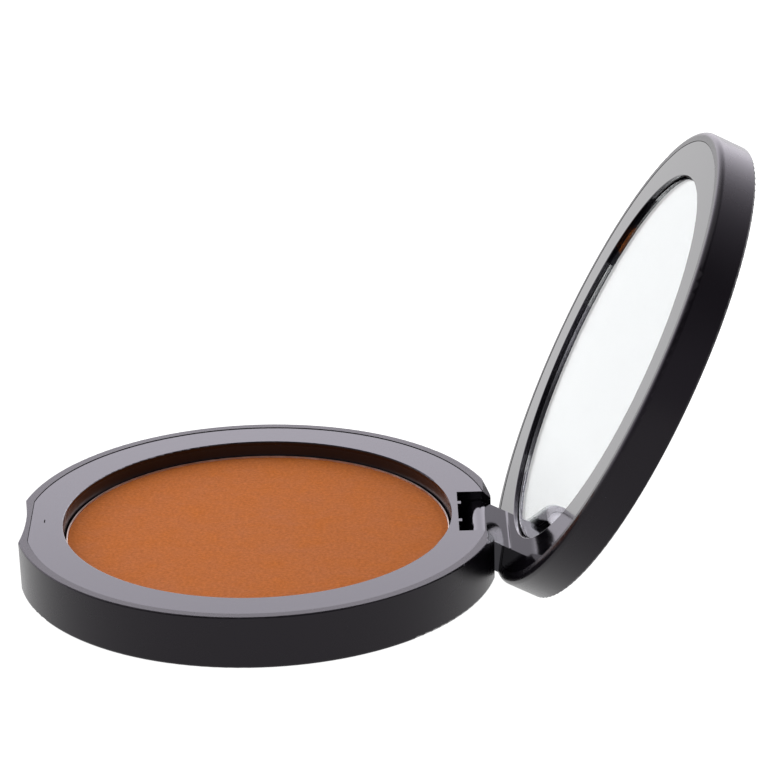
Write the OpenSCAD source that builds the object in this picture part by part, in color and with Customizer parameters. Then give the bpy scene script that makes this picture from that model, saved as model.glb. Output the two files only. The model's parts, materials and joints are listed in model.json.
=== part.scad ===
// Round pressed-powder compact with a mirror lid, drawn with the lid open.
// Z = 0 is the flat underside of the base, the hinge is at +Y and the thumb scoop at -Y.
// Each lid piece is drawn closed, over the base, and then turned back about the hinge pin.

/* [Case] */
// Outer radius of the base at its rim
case_r = 37.22; // [37.1:0.01:38]
// Outer radius at the foot of the base, which tapers downwards
foot_r = 37; // [36.8:0.05:37.2]
// Outer radius of the lid
lid_r = 37.5; // [37.2:0.01:38]
// Height of the base, from the underside to the top of its ring
base_h = 8.28; // [8:0.01:10]
// Thickness of the lid
lid_h = 6.1; // [5.9:0.05:8]
// Gap between the base ring and the rim of the shut lid
closed_gap = 0.32; // [0.25:0.01:0.5]
// How far the rim of the base shell stands above its ring
base_lip = 0.1; // [0.05:0.01:0.2]
// How far the rim of the lid shell stands beyond its ring
lid_lip = 0.05; // [0:0.01:0.2]
// Thickness of the floor of the base shell and of the top of the lid shell
skin = 1.2; // [1:0.1:1.5]
// Inner radius of both shell walls
wall_in_r = 35.79; // [35.76:0.01:36]
// Rounding of the base shell's rim
base_round = 0.2; // [0.1:0.05:0.6]
// Rounding of the lid shell's rim
lid_round = 0.9; // [0.1:0.05:1]
// Rounding of the edge of the foot
foot_round = 0.5; // [0.3:0.05:1]
// Rounding of the edge around the lid's outside face
back_round = 0.4; // [0.2:0.05:1]

/* [Inner frames] */
// Outer radius of both glossy rings
ring_r = 35.71; // [35.6:0.01:35.74]
// Thickness of both glossy rings
ring_t = 1.3; // [1:0.1:1.6]
// Radius of the well that the pan sits in
well_r = 29.96; // [29.8:0.02:30.2]
// Radius of the same well at its foot, below the slope in its wall, mm
well_foot_r = 29.86; // [29.7:0.02:29.9]
// Radius of the opening over the mirror
mirror_mouth_r = 30.1; // [30:0.02:30.3]
// Depth of the pan's rim below the top of the ring
pan_drop = 2.29; // [1.8:0.01:2.6]
// Depth of the mirror's face below the face of the lid ring
mirror_drop = 0.58; // [0.5:0.02:1.2]

/* [Hinge] */
// Angle of the lid when fully open
open_angle = 117.25; // [90:0.25:119]
// Distance of the hinge pin behind the centre of the base
hinge_y = 34.22; // [34.1:0.02:34.3]
// Depth of the hinge pin below the top of the base ring
hinge_drop = 3.53; // [3.4:0.01:3.8]
// Radius of the hinge pin
pin_r = 0.4; // [0.3:0.05:0.4]
// Half of the hinge pin's length
pin_half = 8.6; // [8:0.1:8.6]
// Half of the width of the lid's hinge lug
lug_half = 7.14; // [6.8:0.02:7.2]
// Radius of the lug's knuckle
knuckle_r = 2.15; // [2:0.05:2.2]
// Half of the width of the notch that the lug swings in
notch_half = 7.5; // [7.4:0.02:7.8]
// Distance of the notch's inner wall behind the centre of the base
notch_y = 30.9; // [30.8:0.05:31]

/* [Front] */
// Radius of the hollow that is scooped out of the base shell for a thumb
scoop_r = 55.5; // [45:0.5:90]
// Distance of the scoop's deepest point from the centre of the base
scoop_y = 35.7; // [35.6:0.02:36]
// Distance of the straight front edge of the base ring from the centre
chord_y = 34.9; // [34.8:0.02:35.1]

/* [Powder and mirror] */
// Outer radius of the powder pan
pan_r = 29.6; // [29.4:0.05:29.7]
// Wall of the pan
pan_t = 0.25; // [0.2:0.05:0.4]
// Depth of the powder's edge below the rim of the pan
powder_drop = 0.1; // [0.05:0.05:0.5]
// Radius of the mirror glass
mirror_r = 29.9; // [29.6:0.05:30]
// Thickness of the mirror glass
mirror_t = 1.3; // [1:0.1:1.6]

/* [Hidden] */
$fn = 96;
eps = 0.01;
ring_top = base_h;                        // top of the base ring
lid_z = base_h + closed_gap;              // rim of the shut lid
lid_ring_z = lid_z + lid_lip;             // face of the shut lid ring
lid_top = lid_z + lid_h;                  // outside of the shut lid
hinge_z = base_h - hinge_drop;
seam = wall_in_r - ring_r;                // width of the fine joint between shell and ring
well_wall = 0.9;                          // thickness of the well's wall
well_floor = 0.8;                         // thickness of the well's floor
skirt_t = 1.3;                            // thickness of the frames' outer skirts
skirt_h = 3.3;                            // how far the skirts hang below the rings
bead = 0.26;                              // how far the snap beads stand out
bead_z = 2.6;                             // distance of the snap beads from the ring faces
mouth_round = 0.15;                       // rounding of the two ring mouths
pan_top = ring_top - pan_drop;
pan_floor = skin + well_floor + 0.3;      // underside of the pan, above its adhesive
tape_t = 0.3;                             // thickness of the tape under the pan
bevel_y = 34.95;                         // where the sloping back edge of the base starts
bevel_angle = 43;                         // slope of that edge
back_y = 36.2;                            // flat back of the base, which clears the open lid
cheek_half = 12;                          // half width over the two pin cheeks
pin_play = 0.05;                          // radial clearance of the lug on the pin
nub_x = 3.38;                             // place of the two nubs in the notch
nub = [1.0, 0.55, 1.3];                   // width, reach and height of a nub
mirror_face = lid_ring_z + mirror_drop;       // face of the glass in the shut lid
silver_t = 0.1;                           // silver and paint on the back of the glass
foam_t = 0.5;                             // foam tape behind the mirror
seat_z = mirror_face + mirror_t + silver_t + foam_t;
seat_t = 1.0;                             // floor behind the mirror
magnet_y = -32.6;                         // place of the two closing pieces
magnet_r = 1.5;
magnet_h = 1.5;
keeper_r = 1.6;
keeper_h = 0.8;
magnet_cover = 0.8;                       // plastic left over the magnet and over the keeper
label_r = 20;
label_t = 0.12;
mark = [1.15, 0.18, 0.4];                 // fine slot in the front of the base ring
mark_y = -32.83;
close_wall = 0.45;                        // wall around the magnet and around the keeper
heel_y = 35.55;                           // where the notch starts to go through the floor

// Turns a piece of the shut lid back to where it stands when the lid is open.
module opened() {
    translate([0, hinge_y, hinge_z])
        rotate([-open_angle, 0, 0])
            translate([0, -hinge_y, -hinge_z])
                children();
}

// A block from corner a to corner b.
module block(a, b) {
    translate(a)
        cube(b - a);
}

// Half outline of a round cup: radius r_low at the bottom and r_high at the top, both rounded.
module cup_outline(r_low, r_high, h, round_low, round_high) {
    polygon([[0, 0], [r_low - round_low, 0], [r_low, round_low],
             [r_high, h - round_high], [r_high - round_high, h], [0, h]]);
    translate([r_low - round_low, round_low])
        circle(round_low);
    translate([r_high - round_high, h - round_high])
        circle(round_high);
}

// Half outline of the ring, skirt and snap bead that both inner frames share.
// The ring's face is at 0 and the skirt goes up from it.
module ring_outline(mouth_r) {
    difference() {
        union() {
            translate([mouth_r, 0])
                square([ring_r - mouth_r, ring_t]);
            translate([ring_r - skirt_t, 0])
                square([skirt_t, ring_t + skirt_h]);
            translate([ring_r - bead, bead_z])
                circle(2 * bead);
        }
        difference() {
            translate([mouth_r - eps, -eps])
                square(mouth_round + eps);
            translate([mouth_r + mouth_round, mouth_round])
                circle(mouth_round);
        }
    }
}

// The groove that the snap bead clicks into, cut in a shell's wall.
module groove_outline() {
    translate([ring_r - bead, bead_z])
        circle(2 * bead + 0.06);
}

// The space for the lid's lug: straight down through the ring, and out through the back wall.
module notch() {
    block([-notch_half, notch_y, skin], [notch_half, case_r + 2, base_h + 1]);
    block([-notch_half, heel_y, -1], [notch_half, case_r + 2, base_h + 1]);
}

// What the sloping edge and the flat at the back of the base take away.
module bevel() {
    translate([-30, bevel_y, ring_top])
        rotate([-bevel_angle, 0, 0])
            cube([60, 12, 12]);
    block([-30, back_y, -1], [30, case_r + 2, base_h + 1]);
}

// ---------- base ----------

module base_shell() {
    color("#2e2e31")
        difference() {
            rotate_extrude()
                cup_outline(foot_r, case_r, base_h + base_lip, foot_round, base_round);
            difference() {
                union() {
                    translate([0, 0, skin])
                        cylinder(r = wall_in_r, h = base_h);
                    translate([0, 0, ring_top])
                        mirror([0, 0, 1])
                            rotate_extrude()
                                groove_outline();
                }
                block([-20, -50, 0], [20, -chord_y - seam, 20]);
            }
            translate([0, -scoop_y - scoop_r, -1])
                cylinder(r = scoop_r, h = base_h + 2, $fn = 240);
            notch();
            bevel();
            translate([0, 0, -1])
                cylinder(r = label_r + 0.2, h = 1 + label_t);
        }
}

// The two blocks beside the notch that hold the pin, and the flat wall between them.
module cheeks() {
    intersection() {
        translate([0, 0, skin])
            cylinder(r = ring_r, h = base_h - skin);
        union() {
            for (side = [-1, 1])
                translate([side * (notch_half + cheek_half) / 2, 33, base_h / 2])
                    cube([cheek_half - notch_half, 8, base_h], center = true);
            block([-cheek_half, 27, 0], [cheek_half, notch_y, base_h]);
        }
    }
}

module nubs() {
    for (side = [-1, 1])
        translate([side * nub_x - nub.x / 2, notch_y - eps, ring_top - nub.z])
            cube([nub.x, nub.y + eps, nub.z]);
}

module base_frame() {
    color("#121214")
        union() {
            difference() {
                union() {
                    translate([0, 0, ring_top])
                        mirror([0, 0, 1])
                            rotate_extrude()
                                ring_outline(well_r);
                    translate([0, 0, skin])
                        cylinder(r = well_r + well_wall, h = ring_top - ring_t / 2 - skin);
                    cheeks();
                    translate([0, magnet_y, ring_top - ring_t - magnet_h])
                        cylinder(r = magnet_r + close_wall, h = magnet_h + ring_t / 2);
                }
                translate([0, 0, skin + well_floor])
                    cylinder(r = well_foot_r, h = base_h);
                translate([0, 0, pan_top])
                    cylinder(r1 = well_foot_r, r2 = well_r, h = pan_drop - ring_t / 2);
                translate([0, 0, ring_top - ring_t / 2])
                    cylinder(r = well_r, h = base_h);
                notch();
                bevel();
                block([-20, -50, 0], [20, -chord_y, 20]);
                translate([-pin_half - 0.1, hinge_y, hinge_z])
                    rotate([0, 90, 0])
                        cylinder(r = pin_r, h = pin_half + cheek_half + 2);
                translate([0, magnet_y, 0])
                    cylinder(r = magnet_r, h = ring_top - magnet_cover);
                translate([-mark.x / 2, mark_y - mark.y / 2, ring_top - mark.z])
                    cube(mark);
            }
            nubs();
        }
}

module powder_pan() {
    color("#c9c9cc")
        difference() {
            translate([0, 0, pan_floor])
                rotate_extrude()
                    cup_outline(pan_r, pan_r, pan_top - pan_floor, 0.6, 0.1);
            translate([0, 0, pan_floor + pan_t])
                rotate_extrude()
                    cup_outline(pan_r - pan_t, pan_r - pan_t, base_h, 0.4, 0.1);
        }
}

module pressed_powder() {
    color("#b96b3c")
        translate([0, 0, pan_floor + pan_t])
            rotate_extrude()
                cup_outline(pan_r - pan_t, pan_r - pan_t, pan_top - powder_drop - pan_floor - pan_t,
                            0.4, 0.3);
}

module pan_tape() {
    color("#d8c9a0")
        translate([0, 0, pan_floor - tape_t])
            cylinder(r = 12, h = tape_t);
}

module hinge_pin() {
    color("#9a9ca0")
        translate([-pin_half, hinge_y, hinge_z])
            rotate([0, 90, 0])
                cylinder(r = pin_r, h = 2 * pin_half);
}

module base_magnet() {
    color("#8d8f94")
        translate([0, magnet_y, ring_top - magnet_cover - magnet_h])
            cylinder(r = magnet_r, h = magnet_h);
}

module base_label() {
    color("#d9d9d9")
        cylinder(r = label_r, h = label_t);
}

// ---------- lid ----------

module lid_shell() {
    color("#262629")
        opened()
            difference() {
                translate([0, 0, lid_z])
                    rotate_extrude()
                        cup_outline(lid_r, lid_r, lid_h, lid_round, back_round);
                translate([0, 0, lid_z - 1])
                    cylinder(r = wall_in_r, h = lid_h - skin + 1);
                translate([0, 0, lid_ring_z])
                    rotate_extrude()
                        groove_outline();
            }
}

// Side view of the lug: a knuckle around the pin and a straight neck up to the ring.
module lug_outline() {
    neck_h = lid_ring_z - hinge_z;
    fillet = 0.3;
    circle(knuckle_r);
    translate([-knuckle_r, 0])
        square([2 * knuckle_r, neck_h]);
    difference() {
        translate([-knuckle_r - fillet, neck_h - fillet])
            square(fillet + eps);
        translate([-knuckle_r - fillet, neck_h - fillet])
            circle(fillet);
    }
}

module lug() {
    intersection() {
        translate([-lug_half, hinge_y, hinge_z])
            rotate([90, 0, 90])
                linear_extrude(2 * lug_half)
                    lug_outline();
        cylinder(r = lid_r - 0.35, h = 40);
    }
}

module lid_frame() {
    color("#101012")
        opened()
            difference() {
                union() {
                    translate([0, 0, lid_ring_z])
                        rotate_extrude()
                            ring_outline(mirror_mouth_r);
                    difference() {
                        translate([0, 0, lid_ring_z + ring_t / 2])
                            cylinder(r = mirror_mouth_r + 0.9,
                                     h = seat_z + seat_t - lid_ring_z - ring_t / 2);
                        translate([0, 0, lid_ring_z])
                            cylinder(r = mirror_mouth_r, h = seat_z - lid_ring_z);
                    }
                    translate([0, magnet_y, lid_ring_z + ring_t / 2])
                        cylinder(r = keeper_r + close_wall, h = magnet_cover + keeper_h - ring_t / 2);
                    lug();
                }
                translate([-lug_half - 1, hinge_y, hinge_z])
                    rotate([0, 90, 0])
                        cylinder(r = pin_r + pin_play, h = 2 * lug_half + 2);
                translate([0, magnet_y, lid_ring_z + magnet_cover])
                    cylinder(r = keeper_r, h = lid_h);
            }
}

module mirror_glass() {
    color("#e9f1f2")
        opened()
            translate([0, 0, mirror_face])
                rotate_extrude()
                    polygon([[0, 0], [mirror_r - 0.25, 0], [mirror_r, 0.25],
                             [mirror_r, mirror_t], [0, mirror_t]]);
}

module mirror_silver() {
    color("#b8bcc0")
        opened()
            translate([0, 0, mirror_face + mirror_t])
                cylinder(r = mirror_r - 0.1, h = silver_t);
}

module mirror_foam_tape() {
    color("#f0f0ec")
        opened()
            translate([0, 0, mirror_face + mirror_t + silver_t])
                cylinder(r = 26, h = foam_t);
}

module lid_keeper() {
    color("#9fa1a5")
        opened()
            translate([0, magnet_y, lid_ring_z + magnet_cover])
                cylinder(r = keeper_r, h = keeper_h);
}

base_shell();
base_frame();
powder_pan();
pressed_powder();
pan_tape();
hinge_pin();
base_magnet();
base_label();
lid_shell();
lid_frame();
mirror_glass();
mirror_silver();
mirror_foam_tape();
lid_keeper();
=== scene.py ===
"""Looks of the powder compact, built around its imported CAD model.

The CAD shells, frames, pan, pin and small parts stay and get procedural materials. The pressed powder
and the mirror glass are replaced with finer meshes. Lengths are in metres, in the row frame.
"""
import json
import math

import bpy
import numpy as np
from mathutils import Matrix, Vector


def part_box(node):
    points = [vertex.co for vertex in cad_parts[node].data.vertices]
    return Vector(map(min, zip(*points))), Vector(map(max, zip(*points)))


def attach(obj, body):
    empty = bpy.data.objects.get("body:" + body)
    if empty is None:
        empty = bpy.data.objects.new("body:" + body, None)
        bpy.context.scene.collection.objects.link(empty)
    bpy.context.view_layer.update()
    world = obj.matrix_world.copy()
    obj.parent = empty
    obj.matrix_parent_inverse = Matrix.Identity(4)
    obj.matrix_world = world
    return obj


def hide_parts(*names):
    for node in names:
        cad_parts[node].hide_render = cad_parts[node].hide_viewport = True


MM = 0.001

# Camera: where it looks from, its roll, and the point that it looks at
AZIMUTH, ELEVATION, ROLL = 89.834, 21.662, -1.346
CAMERA_DISTANCE = 609.96 * MM
LENS_MM = 184.975
AIM_RIGHT, AIM_UP = 20.116 * MM, 19.727 * MM

# Pressed powder
CAKE_GRID = 300  # squares across the disc
CAKE_BORDER = 1.0 * MM  # width of the sloping border
CAKE_BORDER_DROP = 0.08 * MM
CAKE_CORNER = 0.12 * MM
THREAD_PITCH = 0.62 * MM  # of the cloth that the cake was pressed through
THREAD_RELIEF = 0.04 * MM
CLOTH_TURN = math.radians(32)
CLOTH_SWAY = 0.35  # how far the threads wander, in thread pitches
SWAY_CELL = 4 * MM
GRAIN_CELL = 0.5 * MM
WEAVE_SHARE = 0.6  # of the relief; the rest is grain
CAKE_CORNER_STEPS = 4
CAKE_HEEL = 0.4 * MM  # chamfer around the bottom of the cake

# Mirror glass
GLASS_BEVEL = 0.14 * MM  # ground edge of the face
GLASS_BACK_BEVEL = 0.05 * MM
SILVER_GAP = 0.02 * MM  # keeps the glass's back off the silvering, so that the two faces don't fight
TURN_STEPS = 256
CRISP_EDGE = 20  # degrees; sharper edges of a turned solid aren't smoothed

# Polish of the base frame: its ring is glossy, and the well below it is duller
RING_MOUTH = 0.15 * MM  # rounding of the ring's mouth, which is still glossy
DULL_FADE = 0.5 * MM
DULL_ROUGHNESS = 0.28

# Studio: the tent and the floor's painted glow are brighter on the far side, behind the compact as the
# camera sees it
FLOOR_HALF = 6.0
FLOOR_FADE = (-0.12, 0.0)
FLOOR_GLOW = (1.35, 1.02)
TENT_HEIGHTS = (0.35, 0.8)  # on a unit sphere, from the low bright band to the darker top
TENT_GLOW = (3.0, 0.6)
TENT_FADE = (-0.3, 0.4)
TENT_SIDES = (1.0, 0.25)
STEEPEST_FLOOR = 0.2  # the slope of the floor is searched for up to this
SLOPE_STEPS = 50


# ---------------------------------------------------------------- meshes


def new_object(name, verts, faces, crisp=None):
    """A smooth mesh object from lists of points and faces; edges sharper than crisp degrees stay crisp."""
    mesh = bpy.data.meshes.new(name)
    mesh.from_pydata(verts, [], faces)
    mesh.update()
    mesh.shade_smooth()
    if crisp is not None:
        mesh.set_sharp_from_angle(angle=math.radians(crisp))
    obj = bpy.data.objects.new(name, mesh)
    bpy.context.scene.collection.objects.link(obj)
    return obj


def lathe(name, outline, steps=TURN_STEPS):
    """A closed solid turned about Z from (radius, height) points, the first and last of them on the axis."""
    rings = outline[1:-1]
    verts = [(0, 0, outline[0][1])]
    for radius, height in rings:
        for i in range(steps):
            turn = 2 * math.pi * i / steps
            verts.append((radius * math.cos(turn), radius * math.sin(turn), height))
    verts.append((0, 0, outline[-1][1]))
    last = len(verts) - 1
    faces = []
    for i in range(steps):
        j = (i + 1) % steps
        faces.append((0, 1 + j, 1 + i))
        for k in range(len(rings) - 1):
            a, b = 1 + k * steps, 1 + (k + 1) * steps
            faces.append((a + i, a + j, b + j, b + i))
        top = 1 + (len(rings) - 1) * steps
        faces.append((top + i, top + j, last))
    return new_object(name, verts, faces, crisp=CRISP_EDGE)


def disc_point(u, v):
    """Maps a square of side 2 onto a disc of radius 1, so that a square grid becomes an even round one."""
    if u == 0 and v == 0:
        return 0.0, 0.0
    if abs(u) > abs(v):
        turn = math.pi / 4 * v / u
        return u * math.cos(turn), u * math.sin(turn)
    turn = math.pi / 2 - math.pi / 4 * u / v
    return v * math.cos(turn), v * math.sin(turn)


def smooth_noise(x, y, cell, seed):
    """Smooth random height between -1 and 1 at x, y, with bumps about one cell wide."""
    rng = np.random.default_rng(seed)
    size = 256
    table = rng.uniform(-1, 1, (size, size))
    gx, gy = x / cell + size / 2, y / cell + size / 2
    ix, iy = np.floor(gx).astype(int), np.floor(gy).astype(int)
    fx, fy = gx - ix, gy - iy
    fx, fy = fx * fx * (3 - 2 * fx), fy * fy * (3 - 2 * fy)

    def corner(dx, dy):
        return table[(ix + dx) % size, (iy + dy) % size]

    near = corner(0, 0) * (1 - fx) + corner(1, 0) * fx
    far = corner(0, 1) * (1 - fx) + corner(1, 1) * fx
    return near * (1 - fy) + far * fy


def cloth_relief(x, y):
    """Height of the print that a woven cloth leaves in the cake: two sets of threads, a little uneven."""
    sway = CLOTH_SWAY * THREAD_PITCH
    x = x + sway * smooth_noise(x, y, SWAY_CELL, 11)
    y = y + sway * smooth_noise(x, y, SWAY_CELL, 12)
    across = x * math.cos(CLOTH_TURN) + y * math.sin(CLOTH_TURN)
    along = y * math.cos(CLOTH_TURN) - x * math.sin(CLOTH_TURN)
    warp = np.cos(2 * math.pi * across / THREAD_PITCH)
    weft = np.cos(2 * math.pi * along / THREAD_PITCH)
    over = np.cos(math.pi * across / THREAD_PITCH) * np.cos(math.pi * along / THREAD_PITCH)
    weave = 0.35 * (warp + weft) + 0.3 * over
    grain = smooth_noise(x, y, GRAIN_CELL, 13)
    return THREAD_RELIEF * (WEAVE_SHARE * weave + (1 - WEAVE_SHARE) * grain)


def powder_cake():
    """The pressed cake: a disc with a cloth print, a sloping border and a small round corner."""
    low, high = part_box("pressed_powder")
    radius = (high.x - low.x) / 2
    flat = radius - CAKE_CORNER
    n = CAKE_GRID
    grid = np.array([disc_point(2 * i / n - 1, 2 * j / n - 1) for i in range(n + 1) for j in range(n + 1)])
    x, y = grid[:, 0] * flat, grid[:, 1] * flat
    r = np.hypot(x, y)
    slope = np.clip((r - (flat - CAKE_BORDER)) / CAKE_BORDER, 0, 1)
    relief = cloth_relief(x, y) * (1 - slope)
    z = high.z - THREAD_RELIEF + relief - CAKE_BORDER_DROP * slope * slope * (3 - 2 * slope)
    verts = [tuple(p) for p in np.stack([x, y, z], 1)]
    faces = []
    for i in range(n):
        for j in range(n):
            a = i * (n + 1) + j
            faces.append((a, a + n + 1, a + n + 2, a + 1))
    border = list(range(n))
    border += [i * (n + 1) + n for i in range(n)]
    border += [n * (n + 1) + n - j for j in range(n)]
    border += [(n - i) * (n + 1) for i in range(n)]
    border.reverse()
    edge_z = high.z - THREAD_RELIEF - CAKE_BORDER_DROP
    turns = [k * math.pi / 2 / CAKE_CORNER_STEPS for k in range(1, CAKE_CORNER_STEPS + 1)]
    rows = [(flat + CAKE_CORNER * math.sin(t), edge_z - CAKE_CORNER * (1 - math.cos(t))) for t in turns]
    rows += [(radius, low.z + CAKE_HEEL), (radius - CAKE_HEEL, low.z)]
    above = border
    for row_r, row_z in rows:
        start = len(verts)
        for index in border:
            turn = math.atan2(verts[index][1], verts[index][0])
            verts.append((row_r * math.cos(turn), row_r * math.sin(turn), row_z))
        row = list(range(start, len(verts)))
        for k in range(len(row)):
            m = (k + 1) % len(row)
            faces.append((above[k], row[k], row[m], above[m]))
        above = row
    faces.append(tuple(reversed(above)))
    return new_object("powder_cake", verts, faces)


def mirror_plate(joint):
    """The mirror's glass: a round plate with a ground bevel, made flat and then set at the lid's angle."""
    low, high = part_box("mirror_glass")
    radius = (high.x - low.x) / 2
    normal = mirror_normal(joint)
    disc_height = 2 * radius * abs(normal.y)
    thick = ((high.z - low.z) - disc_height) / abs(normal.z)
    back = thick - SILVER_GAP
    outline = [
        (0, 0),
        (radius - GLASS_BEVEL, 0),
        (radius, GLASS_BEVEL),
        (radius, back - GLASS_BACK_BEVEL),
        (radius - GLASS_BACK_BEVEL, back),
        (0, back),
    ]
    plate = lathe("mirror_plate", outline)
    centre = (low + high) / 2
    turn = Vector((0, 0, 1)).rotation_difference(-normal).to_matrix().to_4x4()
    place = Matrix.Translation(centre + normal * thick / 2) @ turn
    plate.data.transform(place)
    return plate


def mirror_normal(joint):
    """The way that the mirror faces: straight down when the lid is shut, and turned back when it is open."""
    swing = math.radians(joint["range_deg"][1])
    return Vector((0, -math.sin(swing), -math.cos(swing)))


# ---------------------------------------------------------------- materials


def new_material(name):
    """A material, its node tree and its Principled node."""
    material = bpy.data.materials.new(name)
    material.use_nodes = True
    tree = material.node_tree
    return material, tree, tree.nodes["Principled BSDF"]


def set_inputs(node, **values):
    """Sets a node's own sockets by name, with _ for a space."""
    for key, value in values.items():
        node.inputs[key.replace("_", " ")].default_value = value


def noise(tree, scale, detail=3.0, roughness=0.5, stretch=(1, 1, 1)):
    """A noise texture in object space; scale is in features per metre."""
    place = tree.nodes.new("ShaderNodeTexCoord")
    mapping = tree.nodes.new("ShaderNodeMapping")
    mapping.inputs["Scale"].default_value = stretch
    texture = tree.nodes.new("ShaderNodeTexNoise")
    set_inputs(texture, Scale=scale, Detail=detail, Roughness=roughness)
    tree.links.new(place.outputs["Object"], mapping.inputs["Vector"])
    tree.links.new(mapping.outputs["Vector"], texture.inputs["Vector"])
    return texture.outputs["Fac"]


def spread(tree, value, low, high, start=0.3, end=0.7):
    """Maps a texture's middle range onto low to high."""
    node = tree.nodes.new("ShaderNodeMapRange")
    set_inputs(node, From_Min=start, From_Max=end, To_Min=low, To_Max=high)
    tree.links.new(value, node.inputs["Value"])
    return node.outputs["Result"]


def blend_colours(tree, value, first, second):
    """Blends two colours by a value from 0 to 1."""
    node = tree.nodes.new("ShaderNodeMix")
    node.data_type = "RGBA"
    node.inputs["A"].default_value = (*first, 1)
    node.inputs["B"].default_value = (*second, 1)
    tree.links.new(value, node.inputs["Factor"])
    return node.outputs["Result"]


def add_bump(tree, shader, value, depth, strength):
    """Makes a texture stand out of the surface by a depth in metres."""
    node = tree.nodes.new("ShaderNodeBump")
    set_inputs(node, Strength=strength, Distance=depth)
    tree.links.new(value, node.inputs["Height"])
    tree.links.new(node.outputs["Normal"], shader.inputs["Normal"])


def satin_black(name, tone, shine):
    """Soft-touch black: a fine even grain with faint cloudy changes in sheen."""
    material, tree, shader = new_material(name)
    cloud = noise(tree, 90, 4)
    grain = noise(tree, 9000, 2)
    colour = blend_colours(tree, spread(tree, cloud, 0, 1), (tone, tone * 0.75, tone * 1.2),
                           (tone * 1.3, tone * 1.0, tone * 1.55))
    tree.links.new(colour, shader.inputs["Base Color"])
    tree.links.new(spread(tree, cloud, 0.24, 0.29), shader.inputs["Roughness"])
    set_inputs(shader, Specular_IOR_Level=shine, Specular_Tint=(0.97, 0.9, 1.0, 1))
    add_bump(tree, shader, grain, 0.004 * MM, 0.5)
    return material


def gloss_black(name, roughness, rough_below=None):
    """Polished black moulding with a faint purple cast in its reflections, duller below a given height."""
    material, tree, shader = new_material(name)
    cloud = noise(tree, 60, 3)
    ripple = noise(tree, 260, 1)
    colour = blend_colours(tree, spread(tree, cloud, 0, 1), (0.0018, 0.0015, 0.0022),
                           (0.003, 0.0025, 0.0035))
    tree.links.new(colour, shader.inputs["Base Color"])
    polish = spread(tree, cloud, roughness, roughness * 1.3)
    if rough_below is not None:
        dull = tree.nodes.new("ShaderNodeMath")
        dull.operation = "MAXIMUM"
        tree.links.new(polish, dull.inputs[0])
        fade = along(tree, "Z", "Object", (rough_below - DULL_FADE, rough_below), (DULL_ROUGHNESS, 0.0))
        tree.links.new(fade, dull.inputs[1])
        polish = dull.outputs["Value"]
    tree.links.new(polish, shader.inputs["Roughness"])
    set_inputs(shader, Specular_Tint=(0.92, 0.9, 1.0, 1))
    add_bump(tree, shader, ripple, 0.002 * MM, 0.3)
    return material


def pressed_powder_material():
    """Orange-brown powder: matt, with fine grains, soft streaks and a richer orange in places."""
    material, tree, shader = new_material("powder")
    cloud = noise(tree, 170, 4, 0.65)
    speck = noise(tree, 1900, 4, 0.75)
    streak = noise(tree, 700, 3, 0.6, (1, 0.25, 1))
    base = blend_colours(tree, spread(tree, cloud, 0, 1), (0.492, 0.153, 0.042), (0.522, 0.151, 0.027))
    grains = tree.nodes.new("ShaderNodeMix")
    grains.data_type = "RGBA"
    grains.blend_type = "MULTIPLY"
    grains.inputs["Factor"].default_value = 1.0
    tree.links.new(base, grains.inputs["A"])
    tint = blend_colours(tree, spread(tree, speck, 0, 1), (0.8, 0.78, 0.72), (1.18, 1.2, 1.26))
    tree.links.new(tint, grains.inputs["B"])
    tree.links.new(grains.outputs["Result"], shader.inputs["Base Color"])
    tree.links.new(spread(tree, streak, 0.82, 0.95), shader.inputs["Roughness"])
    set_inputs(shader, Specular_IOR_Level=0.1)
    add_bump(tree, shader, speck, 0.02 * MM, 0.6)
    return material


def metal(name, colour, roughness, grain_scale, stretch=(1, 1, 1)):
    """Bare metal with a drawn or rolled grain."""
    material, tree, shader = new_material(name)
    grain = noise(tree, grain_scale, 3, 0.6, stretch)
    tone = blend_colours(tree, spread(tree, grain, 0, 1), tuple(0.9 * c for c in colour), colour)
    tree.links.new(tone, shader.inputs["Base Color"])
    tree.links.new(spread(tree, grain, roughness * 0.8, roughness * 1.25), shader.inputs["Roughness"])
    set_inputs(shader, Metallic=1.0)
    add_bump(tree, shader, grain, 0.003 * MM, 0.4)
    return material


def film(name, colour, roughness, grain_scale, depth):
    """Film, tape or foam: matt, with a fine surface."""
    material, tree, shader = new_material(name)
    grain = noise(tree, grain_scale, 3, 0.6)
    tone = blend_colours(tree, spread(tree, grain, 0, 1), tuple(0.88 * c for c in colour), colour)
    tree.links.new(tone, shader.inputs["Base Color"])
    tree.links.new(spread(tree, grain, roughness * 0.9, roughness), shader.inputs["Roughness"])
    add_bump(tree, shader, grain, depth, 0.6)
    return material


def clear_glass():
    """Clear float glass with a faint green cast."""
    material, _, shader = new_material("mirror_front")
    set_inputs(shader, Transmission_Weight=1.0, IOR=1.52, Base_Color=(0.975, 0.99, 0.985, 1), Roughness=0.0)
    return material


def silvering():
    """The mirror's silver, toned down so that the bright tent behind it doesn't wash it out."""
    material, tree, shader = new_material("mirror_back")
    cloud = noise(tree, 40, 2)
    tree.links.new(spread(tree, cloud, 0.0, 0.012), shader.inputs["Roughness"])
    set_inputs(shader, Metallic=1.0, Base_Color=(0.385, 0.406, 0.424, 1))
    return material


def wear(obj, material):
    """Gives an object one material."""
    obj.data.materials.clear()
    obj.data.materials.append(material)


# ---------------------------------------------------------------- stage, light and camera


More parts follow.
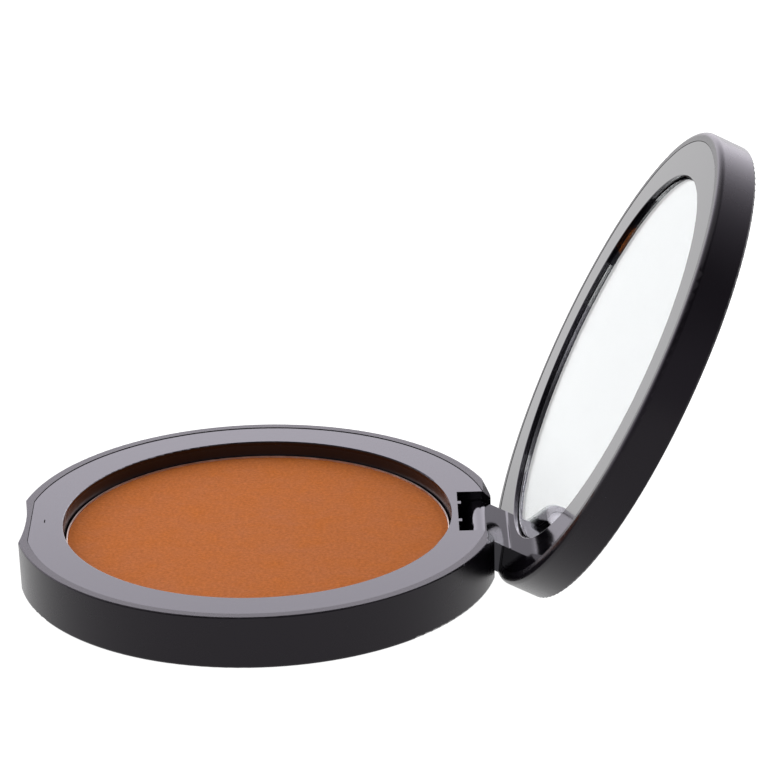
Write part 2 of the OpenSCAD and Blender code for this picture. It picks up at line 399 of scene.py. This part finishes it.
def resting_slope(nodes):
    """Slope and height at y = 0 of the surface that the open compact stands on: it touches the front edge
    of the base and the lowest corner of the lid."""

    def points(name):
        """The y and z of an object's points."""
        co = np.empty(len(nodes[name].data.vertices) * 3)
        nodes[name].data.vertices.foreach_get("co", co)
        return co.reshape(-1, 3)[:, 1:]

    base, lid = points("base_shell"), points("lid_shell")
    low, high = -STEEPEST_FLOOR, STEEPEST_FLOOR
    for _ in range(SLOPE_STEPS):
        slope = (low + high) / 2
        if (lid[:, 1] - slope * lid[:, 0]).min() < (base[:, 1] - slope * base[:, 0]).min():
            high = slope
        else:
            low = slope
    return slope, (base[:, 1] - slope * base[:, 0]).min()


def along(tree, axis, space, reach, values):
    """A value that goes smoothly from the first to the second over a reach of one axis."""
    place = tree.nodes.new("ShaderNodeTexCoord")
    split = tree.nodes.new("ShaderNodeSeparateXYZ")
    ramp = tree.nodes.new("ShaderNodeMapRange")
    ramp.interpolation_type = "SMOOTHSTEP"
    set_inputs(ramp, From_Min=reach[0], From_Max=reach[1], To_Min=values[0], To_Max=values[1])
    tree.links.new(place.outputs[space], split.inputs["Vector"])
    tree.links.new(split.outputs[axis], ramp.inputs["Value"])
    return ramp.outputs["Result"]


def floor(nodes):
    """A dark floor under the points that the open compact stands on, with a painted glow that hides its
    shadow.
    """
    slope, height = resting_slope(nodes)
    square = ((-1, -1), (1, -1), (1, 1), (-1, 1))
    corners = [(x * FLOOR_HALF, y * FLOOR_HALF, height + slope * y * FLOOR_HALF) for x, y in square]
    obj = new_object("floor", corners, [(0, 1, 2, 3)])
    material, tree, shader = new_material("glowing_floor")
    fibre = noise(tree, 900, 3)
    tree.links.new(blend_colours(tree, spread(tree, fibre, 0, 1), (0.09, 0.09, 0.09), (0.1, 0.1, 0.1)),
                   shader.inputs["Base Color"])
    # painted glow: white emission makes the dark floor read white and washes out the compact's shadow on it
    set_inputs(shader, Roughness=1.0, Specular_IOR_Level=0.0, Emission_Color=(1, 1, 1, 1))
    # the painted glow is stronger on the far side of the compact than on the camera's side
    glow = along(tree, "X", "Object", FLOOR_FADE, FLOOR_GLOW)
    tree.links.new(glow, shader.inputs["Emission Strength"])
    wear(obj, material)


def studio_world():
    """A plain white tent: brightest low down on the far side, dimmer overhead and on the camera's side."""
    world = bpy.data.worlds.new("tent")
    bpy.context.scene.world = world
    world.use_nodes = True
    tree = world.node_tree
    background = tree.nodes["Background"]
    place = tree.nodes.new("ShaderNodeTexCoord")
    split = tree.nodes.new("ShaderNodeSeparateXYZ")
    ramp = tree.nodes.new("ShaderNodeMapRange")
    set_inputs(ramp, From_Min=TENT_HEIGHTS[0], From_Max=TENT_HEIGHTS[1],
               To_Min=TENT_GLOW[0], To_Max=TENT_GLOW[1])
    tree.links.new(place.outputs["Generated"], split.inputs["Vector"])
    tree.links.new(split.outputs["Z"], ramp.inputs["Value"])
    both = tree.nodes.new("ShaderNodeMath")
    both.operation = "MULTIPLY"
    tree.links.new(ramp.outputs["Result"], both.inputs[0])
    tree.links.new(along(tree, "X", "Generated", TENT_FADE, TENT_SIDES), both.inputs[1])
    tree.links.new(both.outputs["Value"], background.inputs["Strength"])
    background.inputs["Color"].default_value = (0.95, 0.91, 1.0, 1)


def softbox(name, place, aim, size, power):
    """A rectangular area light at a place, turned towards a point."""
    light = bpy.data.lights.new(name, "AREA")
    light.shape = "RECTANGLE"
    light.size, light.size_y = size
    light.energy = power
    obj = bpy.data.objects.new(name, light)
    bpy.context.scene.collection.objects.link(obj)
    obj.location = place
    obj.rotation_euler = (Vector(aim) - Vector(place)).to_track_quat("-Z", "Y").to_euler()


def camera():
    """A long lens beside the compact, in line with the hinge pin, looking down and slightly rolled."""
    az, el, roll = (math.radians(a) for a in (AZIMUTH, ELEVATION, ROLL))
    back = Vector((math.sin(az) * math.cos(el), -math.cos(az) * math.cos(el), math.sin(el)))
    right = Vector((math.cos(az), math.sin(az), 0))
    up = back.cross(right)
    centre = Vector((0, 0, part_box("base_frame")[1].z))
    place = centre + right * AIM_RIGHT + up * AIM_UP + back * CAMERA_DISTANCE
    rolled_right = right * math.cos(roll) + up * math.sin(roll)
    rolled_up = up * math.cos(roll) - right * math.sin(roll)
    data = bpy.data.cameras.new("camera")
    data.lens = LENS_MM
    data.sensor_width = 36
    data.clip_start, data.clip_end = 0.01, 20
    obj = bpy.data.objects.new("camera", data)
    bpy.context.scene.collection.objects.link(obj)
    turn = Matrix((rolled_right, rolled_up, back)).transposed().to_4x4()
    obj.matrix_world = Matrix.Translation(place) @ turn
    bpy.context.scene.camera = obj


# ---------------------------------------------------------------- the compact

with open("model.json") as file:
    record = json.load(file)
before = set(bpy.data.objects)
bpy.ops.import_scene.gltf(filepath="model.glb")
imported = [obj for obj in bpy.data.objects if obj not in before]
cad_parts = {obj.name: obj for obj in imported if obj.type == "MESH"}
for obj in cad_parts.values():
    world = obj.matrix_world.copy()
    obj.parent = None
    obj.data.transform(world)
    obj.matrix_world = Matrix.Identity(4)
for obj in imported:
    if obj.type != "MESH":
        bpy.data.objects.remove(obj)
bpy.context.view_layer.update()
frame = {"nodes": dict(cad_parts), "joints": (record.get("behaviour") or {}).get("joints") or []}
nodes = frame["nodes"]

camera()
studio_world()
softbox("overhead", place=(-0.2, -0.2, 0.9), aim=(0, 0, 0), size=(0.9, 0.9), power=2.0)
floor(nodes)

ring_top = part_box("base_frame")[1].z
finishes = {
    "base_shell": satin_black("shell_satin", 0.0022, 0.26),
    "base_frame": gloss_black("frame_gloss", 0.12, ring_top - RING_MOUTH),
    "powder_pan": metal("pan_metal", (0.72, 0.6, 0.53), 0.45, 900),
    "pan_tape": film("tape", (0.7, 0.6, 0.4), 0.6, 1500, 0.01 * MM),
    "hinge_pin": metal("pin_steel", (0.62, 0.62, 0.63), 0.3, 1200, (0.1, 1, 1)),
    "base_magnet": metal("magnet_nickel", (0.66, 0.65, 0.62), 0.18, 1500),
    "base_label": film("label_film", (0.05, 0.05, 0.052), 0.55, 1200, 0.006 * MM),
    "lid_shell": satin_black("lid_satin", 0.0022, 0.22),
    "lid_frame": gloss_black("lid_gloss", 0.055),
    "mirror_silver": silvering(),
    "mirror_foam_tape": film("foam_tape", (0.85, 0.85, 0.83), 0.8, 2500, 0.03 * MM),
    "lid_keeper": metal("keeper_steel", (0.55, 0.55, 0.56), 0.35, 1200),
}
for node, material in finishes.items():
    wear(nodes[node], material)

cake = powder_cake()
wear(cake, pressed_powder_material())
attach(cake, "base")
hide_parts("pressed_powder")

plate = mirror_plate(frame["joints"][0])
wear(plate, clear_glass())
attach(plate, "lid")
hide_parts("mirror_glass")

bpy.context.scene.view_settings.view_transform = "Standard"
